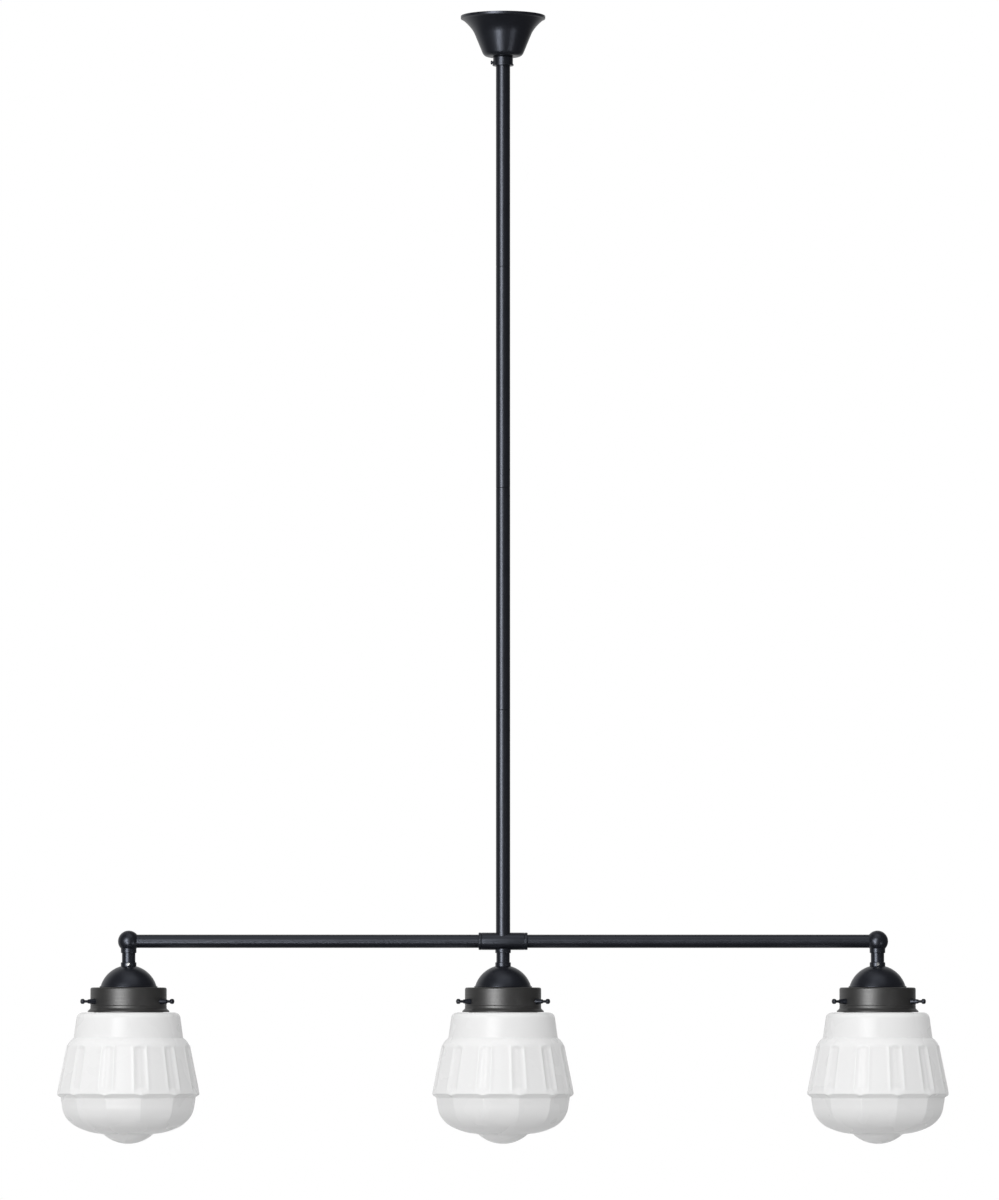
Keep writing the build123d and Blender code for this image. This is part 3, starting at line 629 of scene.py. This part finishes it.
class PENDANT_OT_seat_ring(Operator):
    """Makes the ring between the sleeve and the centre neck. Its height is the lower of a level shoulder and
    the sleeve's round underside, axis - sqrt(r^2 - y^2)"""

    bl_idname = "pendant.seat_ring"
    bl_label = "Seat ring"

    def execute(self, context):
        low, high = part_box("cross_sleeve")
        axis, reach = (low.z + high.z) / 2 / MM, (high.z - low.z) / 2 / MM
        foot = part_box("neck_ring_centre")[0].z / MM
        bore, outer, rise, gap = 5.05, 8.75, 1.4, 0.03
        shoulder = axis - reach + rise
        corners = [
            (bore, foot), (outer, foot), (outer, shoulder), (8.0, shoulder), (7.0, shoulder), (6.0, shoulder),
            (bore, shoulder),
        ]
        profile = eased(corners, [0.1, 0.6, 0.5, 0.1, 0.1, 0.1, 0.1], 5, closed=True)
        grid = turned(profile, evenly(128))
        under = axis - np.sqrt(reach**2 - grid[..., 1] ** 2) - gap
        grid[..., 2] = np.minimum(grid[..., 2], under)
        piece(
            "seat_ring_centre",
            "pendant",
            finish_for("satin_black"),
            grid,
            stands_for="neck_ring_centre",
        )
        return {"FINISHED"}


# ---- finishes of the CAD nodes ----


class PENDANT_OT_finishes(Operator):
    """Gives every CAD node that is shown the finish of its slot in the record"""

    bl_idname = "pendant.finishes"
    bl_label = "Finishes"

    def execute(self, context):
        for row in frame["record"]["subparts"]:
            node = frame["nodes"][row["node"]]
            node.data.materials.clear()
            node.data.materials.append(finish_for(row["material_slot"]))
        return {"FINISHED"}


# ---- stage ----


def pale_floor(white_from, fade_over):
    """Pale matt floor that keeps shadows near the pendant and turns to plain white further out. From below it
    is clear, so it never hides the pendant."""
    material, tree, shader = new_finish("pale_floor")
    shader.inputs["Base Color"].default_value = (0.62, 0.62, 0.62, 1)
    shader.inputs["Roughness"].default_value = 0.8
    place = tree.nodes.new("ShaderNodeTexCoord")
    far = tree.nodes.new("ShaderNodeVectorMath")
    far.operation = "LENGTH"
    tree.links.new(place.outputs["Object"], far.inputs[0])
    fade = tree.nodes.new("ShaderNodeMapRange")
    fade.inputs["From Min"].default_value = white_from
    fade.inputs["From Max"].default_value = white_from + fade_over
    tree.links.new(far.outputs["Value"], fade.inputs["Value"])
    seen = tree.nodes.new("ShaderNodeLightPath")
    both = tree.nodes.new("ShaderNodeMath")
    both.operation = "MULTIPLY"
    tree.links.new(fade.outputs["Result"], both.inputs[0])
    tree.links.new(seen.outputs["Is Camera Ray"], both.inputs[1])
    white = tree.nodes.new("ShaderNodeEmission")
    mix = tree.nodes.new("ShaderNodeMixShader")
    tree.links.new(both.outputs["Value"], mix.inputs["Fac"])
    tree.links.new(shader.outputs["BSDF"], mix.inputs[1])
    tree.links.new(white.outputs["Emission"], mix.inputs[2])
    side = tree.nodes.new("ShaderNodeNewGeometry")
    clear = tree.nodes.new("ShaderNodeBsdfTransparent")
    above = tree.nodes.new("ShaderNodeMixShader")
    tree.links.new(side.outputs["Backfacing"], above.inputs["Fac"])
    tree.links.new(mix.outputs["Shader"], above.inputs[1])
    tree.links.new(clear.outputs["BSDF"], above.inputs[2])
    tree.links.new(above.outputs["Shader"], tree.nodes["Material Output"].inputs["Surface"])
    return material


def facing(tree, direction, low, high, dark, light):
    """A strength from dark to light by how far a ray of the world points in a direction: low and high are the
    cosines where it begins to rise and where it is full."""
    place = tree.nodes.new("ShaderNodeTexCoord")
    dot = tree.nodes.new("ShaderNodeVectorMath")
    dot.operation = "DOT_PRODUCT"
    dot.inputs[1].default_value = Vector(direction).normalized()
    tree.links.new(place.outputs["Generated"], dot.inputs[0])
    rise = tree.nodes.new("ShaderNodeMapRange")
    rise.interpolation_type = "SMOOTHSTEP"
    rise.inputs["From Min"].default_value = low
    rise.inputs["From Max"].default_value = high
    rise.inputs["To Min"].default_value = dark
    rise.inputs["To Max"].default_value = light
    tree.links.new(dot.outputs["Value"], rise.inputs["Value"])
    return rise.outputs["Result"]


def studio_world(strength):
    """Soft room light from the front left and above. The camera sees plain white past the pendant, and
    reflections show that white behind it and a darker room in front."""
    world = bpy.data.worlds.new("studio")
    world.use_nodes = True
    tree = world.node_tree
    room = tree.nodes["Background"]
    room.inputs["Color"].default_value = (1, 1, 1, 1)
    soft = facing(tree, (-0.36, -0.80, 0.42), -0.2, 0.9, 1.25 * strength, 4.0 * strength)
    tree.links.new(soft, room.inputs["Strength"])
    seen = tree.nodes.new("ShaderNodeLightPath")
    mirrored = tree.nodes.new("ShaderNodeBackground")
    tree.links.new(facing(tree, (-0.35, 1.0, 0.10), 0.30, 0.90, 0.11, 0.9), mirrored.inputs["Strength"])
    white = tree.nodes.new("ShaderNodeBackground")
    white.inputs["Color"].default_value = (1, 1, 1, 1)
    either = tree.nodes.new("ShaderNodeMath")
    either.operation = "MAXIMUM"
    tree.links.new(seen.outputs["Is Glossy Ray"], either.inputs[0])
    tree.links.new(seen.outputs["Is Transmission Ray"], either.inputs[1])
    inner = tree.nodes.new("ShaderNodeMixShader")
    tree.links.new(either.outputs["Value"], inner.inputs["Fac"])
    tree.links.new(room.outputs["Background"], inner.inputs[1])
    tree.links.new(mirrored.outputs["Background"], inner.inputs[2])
    outer = tree.nodes.new("ShaderNodeMixShader")
    tree.links.new(seen.outputs["Is Camera Ray"], outer.inputs["Fac"])
    tree.links.new(inner.outputs["Shader"], outer.inputs[1])
    tree.links.new(white.outputs["Background"], outer.inputs[2])
    tree.links.new(outer.outputs["Shader"], tree.nodes["World Output"].inputs["Surface"])
    return world


def soft_lamp(name, place, target, width, height, power, glint=False):
    """A large soft lamp facing a target. A glint is seen in reflections only."""
    data = bpy.data.lights.new(name, "AREA")
    data.shape = "RECTANGLE"
    data.size = width
    data.size_y = height
    data.energy = power
    lamp = bpy.data.objects.new(name, data)
    lamp.location = place
    lamp.visible_camera = False
    lamp.visible_diffuse = not glint
    lamp.rotation_euler = (Vector(target) - Vector(place)).to_track_quat("-Z", "Y").to_euler()
    bpy.context.scene.collection.objects.link(lamp)
    return lamp


class PENDANT_OT_stage(Operator):
    """Sets out the pale floor, the soft lamps, the white surroundings and the camera"""

    bl_idname = "pendant.stage"
    bl_label = "Studio"

    def execute(self, context):
        stage = context.scene.pendant_stage
        radii = np.array([0.001, 0.6, 1.2, 1.8, 2.6])
        profile = np.stack([radii, 0 * radii], axis=-1)
        grid = turned(profile, evenly(128), (0.0, 0.0, stage.floor))
        mesh = bpy.data.meshes.new("floor")
        mesh.from_pydata(grid.reshape(-1, 3).tolist(), [], skin(grid)[:, ::-1].tolist())
        mesh.materials.append(pale_floor(white_from=1.1, fade_over=1.4))
        floor = bpy.data.objects.new("floor", mesh)
        context.scene.collection.objects.link(floor)
        floor.visible_glossy = False

        low, high = CAD_BOX
        middle = ((low[0] + high[0]) / 2, 0.0, (low[2] + high[2]) / 2)
        shades, ceiling = (0.0, 0.0, -0.9), (0.0, 0.0, 0.0)
        soft_lamp("window_lamp", (-2.2, -4.2, -0.4), shades, 1.1, 2.0, stage.key_light)
        soft_lamp("top_lamp", (-0.4, -0.4, 2.6), middle, 3.0, 2.0, 8.0)
        soft_lamp("front_glint", (-3.9, -6.7, -0.9), middle, 3.2, 1.9, 280.0, glint=True)
        soft_lamp("upper_glint", (-2.6, -6.8, 1.3), middle, 3.6, 1.8, 210.0, glint=True)
        soft_lamp("top_glint", (0.3, -2.2, 2.6), middle, 4.0, 3.0, 24.0, glint=True)
        soft_lamp("low_glint_left", (-1.05, -2.9, -2.0), ceiling, 0.9, 1.0, 42.0, glint=True)
        soft_lamp("low_glint_right", (2.1, -2.0, -2.0), ceiling, 0.5, 0.9, 7.0, glint=True)
        context.scene.world = studio_world(stage.room_light)
        context.scene.view_settings.view_transform = "Standard"

        data = bpy.data.cameras.new("camera")
        data.lens = stage.lens
        data.sensor_width = 36.0
        data.clip_end = 200.0
        camera = bpy.data.objects.new("camera", data)
        side_step, aim_height = -0.004, -0.6605
        camera.location = (side_step, -stage.distance, stage.eye)
        aim = Vector((side_step, 0.0, aim_height)) - camera.location
        camera.rotation_euler = aim.to_track_quat("-Z", "Y").to_euler()
        context.scene.collection.objects.link(camera)
        context.scene.camera = camera
        return {"FINISHED"}


class PENDANT_PT_sidebar(Panel):
    """Lists the pendant's pieces and its studio"""

    bl_idname = "PENDANT_PT_sidebar"
    bl_label = "Pendant"
    bl_space_type = "VIEW_3D"
    bl_region_type = "UI"
    bl_category = "Pendant"

    def draw(self, context):
        for group in ("pendant_shade", "pendant_metal", "pendant_stage"):
            settings = getattr(context.scene, group)
            box = self.layout.box()
            for name in settings.__annotations__:
                box.prop(settings, name)
        for maker in MAKERS:
            self.layout.operator(maker.bl_idname)


MAKERS = (
    PENDANT_OT_finishes,
    PENDANT_OT_shades,
    PENDANT_OT_galleries,
    PENDANT_OT_canopy,
    PENDANT_OT_sleeve,
    PENDANT_OT_seat_ring,
    PENDANT_OT_stage,
)
CLASSES = (PendantShade, PendantMetal, PendantStage, *MAKERS, PENDANT_PT_sidebar)


def register():
    """Registers the classes and gives each scene its settings."""
    for kind in CLASSES:
        bpy.utils.register_class(kind)
    bpy.types.Scene.pendant_shade = PointerProperty(type=PendantShade)
    bpy.types.Scene.pendant_metal = PointerProperty(type=PendantMetal)
    bpy.types.Scene.pendant_stage = PointerProperty(type=PendantStage)


def unregister():
    """Takes the settings and the classes away again."""
    del bpy.types.Scene.pendant_stage
    del bpy.types.Scene.pendant_metal
    del bpy.types.Scene.pendant_shade
    for kind in reversed(CLASSES):
        bpy.utils.unregister_class(kind)


def main():
    """Makes every piece and the stage."""
    register()
    bpy.ops.pendant.finishes()
    bpy.ops.pendant.shades()
    bpy.ops.pendant.galleries()
    bpy.ops.pendant.canopy()
    bpy.ops.pendant.sleeve()
    bpy.ops.pendant.seat_ring()
    bpy.ops.pendant.stage()


if __name__ == "__main__":
    main()
